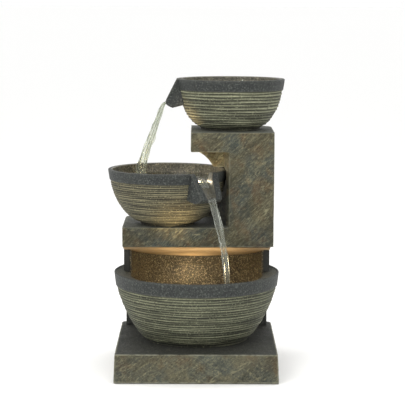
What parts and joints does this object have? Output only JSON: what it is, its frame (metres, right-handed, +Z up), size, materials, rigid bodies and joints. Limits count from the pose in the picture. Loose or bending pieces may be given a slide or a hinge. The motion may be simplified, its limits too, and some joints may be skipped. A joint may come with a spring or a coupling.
{
  "type": "tiered water fountain",
  "caption": "Free-standing cascading fountain with ribbed round bowls on a slate-effect C-shaped column and square plinth, with pump and lamps.",
  "frame": {"origin": "centre of the plinth's underside, on the ground", "axes": "+Z up, -Y towards the front, +X to the right seen from the front"},
  "size_m": [0.3708, 0.3518, 0.6013],
  "materials": {
    "slate": "matte",
    "charcoal": "matte",
    "ribbed_stone": "matte",
    "wet_stone": "satin",
    "black_plastic": "satin",
    "grey_plastic": "satin",
    "rubber": "matte",
    "clear_vinyl": "gloss",
    "clear_lens": "gloss",
    "steel": "satin",
    "ceramic": "satin",
    "magnet": "satin",
    "foam": "matte",
    "led_board": "matte"
  },
  "bodies": {
    "fountain": {"base_plinth": "slate", "column_shell": "slate", "back_cover": "slate", "splash_back": "charcoal", "rear_housing": "charcoal", "lower_bowl": "ribbed_stone", "middle_bowl": "ribbed_stone", "upper_bowl": "ribbed_stone", "splash_liner": "wet_stone", "base_plate": "black_plastic", "outlet_fitting": "black_plastic", "outlet_nut": "black_plastic", "bubbler_cap": "black_plastic", "pump_body": "black_plastic", "basin_lamp_body": "black_plastic", "middle_lamp_body": "black_plastic", "pump_lead": "black_plastic", "basin_lamp_lead": "black_plastic", "middle_lamp_lead": "black_plastic", "cable_gland": "black_plastic", "pump_outlet": "grey_plastic", "wall_elbow": "grey_plastic", "volute_plate": "grey_plastic", "corner_pad_1": "rubber", "corner_pad_2": "rubber", "corner_pad_3": "rubber", "corner_pad_4": "rubber", "wall_grommet": "rubber", "lead_grommet": "rubber", "lamp_grommet": "rubber", "outlet_seal": "rubber", "suction_cup_1": "rubber", "suction_cup_2": "rubber", "suction_cup_3": "rubber", "suction_cup_4": "rubber", "pump_hose": "clear_vinyl", "riser_hose": "clear_vinyl", "basin_lamp_lens": "clear_lens", "middle_lamp_lens": "clear_lens", "plate_screw_1": "steel", "plate_screw_2": "steel", "plate_screw_3": "steel", "plate_screw_4": "steel", "cover_screw_1": "steel", "cover_screw_2": "steel", "cover_screw_3": "steel", "cover_screw_4": "steel", "cover_screw_5": "steel", "cover_screw_6": "steel", "bowl_bolt": "steel", "bowl_washer": "steel", "bowl_nut": "steel", "impeller_shaft": "ceramic", "basin_lamp_board": "led_board", "middle_lamp_board": "led_board"},
    "impeller": {"impeller": "magnet"},
    "pump_cover": {"pump_cover": "black_plastic", "filter_sponge": "foam"},
    "flow_gate": {"flow_gate": "grey_plastic"},
    "access_door": {"access_door": "charcoal"}
  },
  "joints": [
    {"name": "impeller_spin", "type": "hinge", "parent": "fountain", "child": "impeller", "pos_m": [0.045, 0.024, 0.0974], "axis": [0, 1, 0], "continuous": true},
    {"name": "cover_pull", "type": "slide", "parent": "fountain", "child": "pump_cover", "axis": [0, -1, 0], "range_m": [0, 0.03]},
    {"name": "gate_slide", "type": "slide", "parent": "pump_cover", "child": "flow_gate", "axis": [1, 0, 0], "range_m": [-0.004, 0.003]},
    {"name": "door_pull", "type": "slide", "parent": "fountain", "child": "access_door", "axis": [0, 1, 0], "range_m": [0, 0.04]}
  ]
}
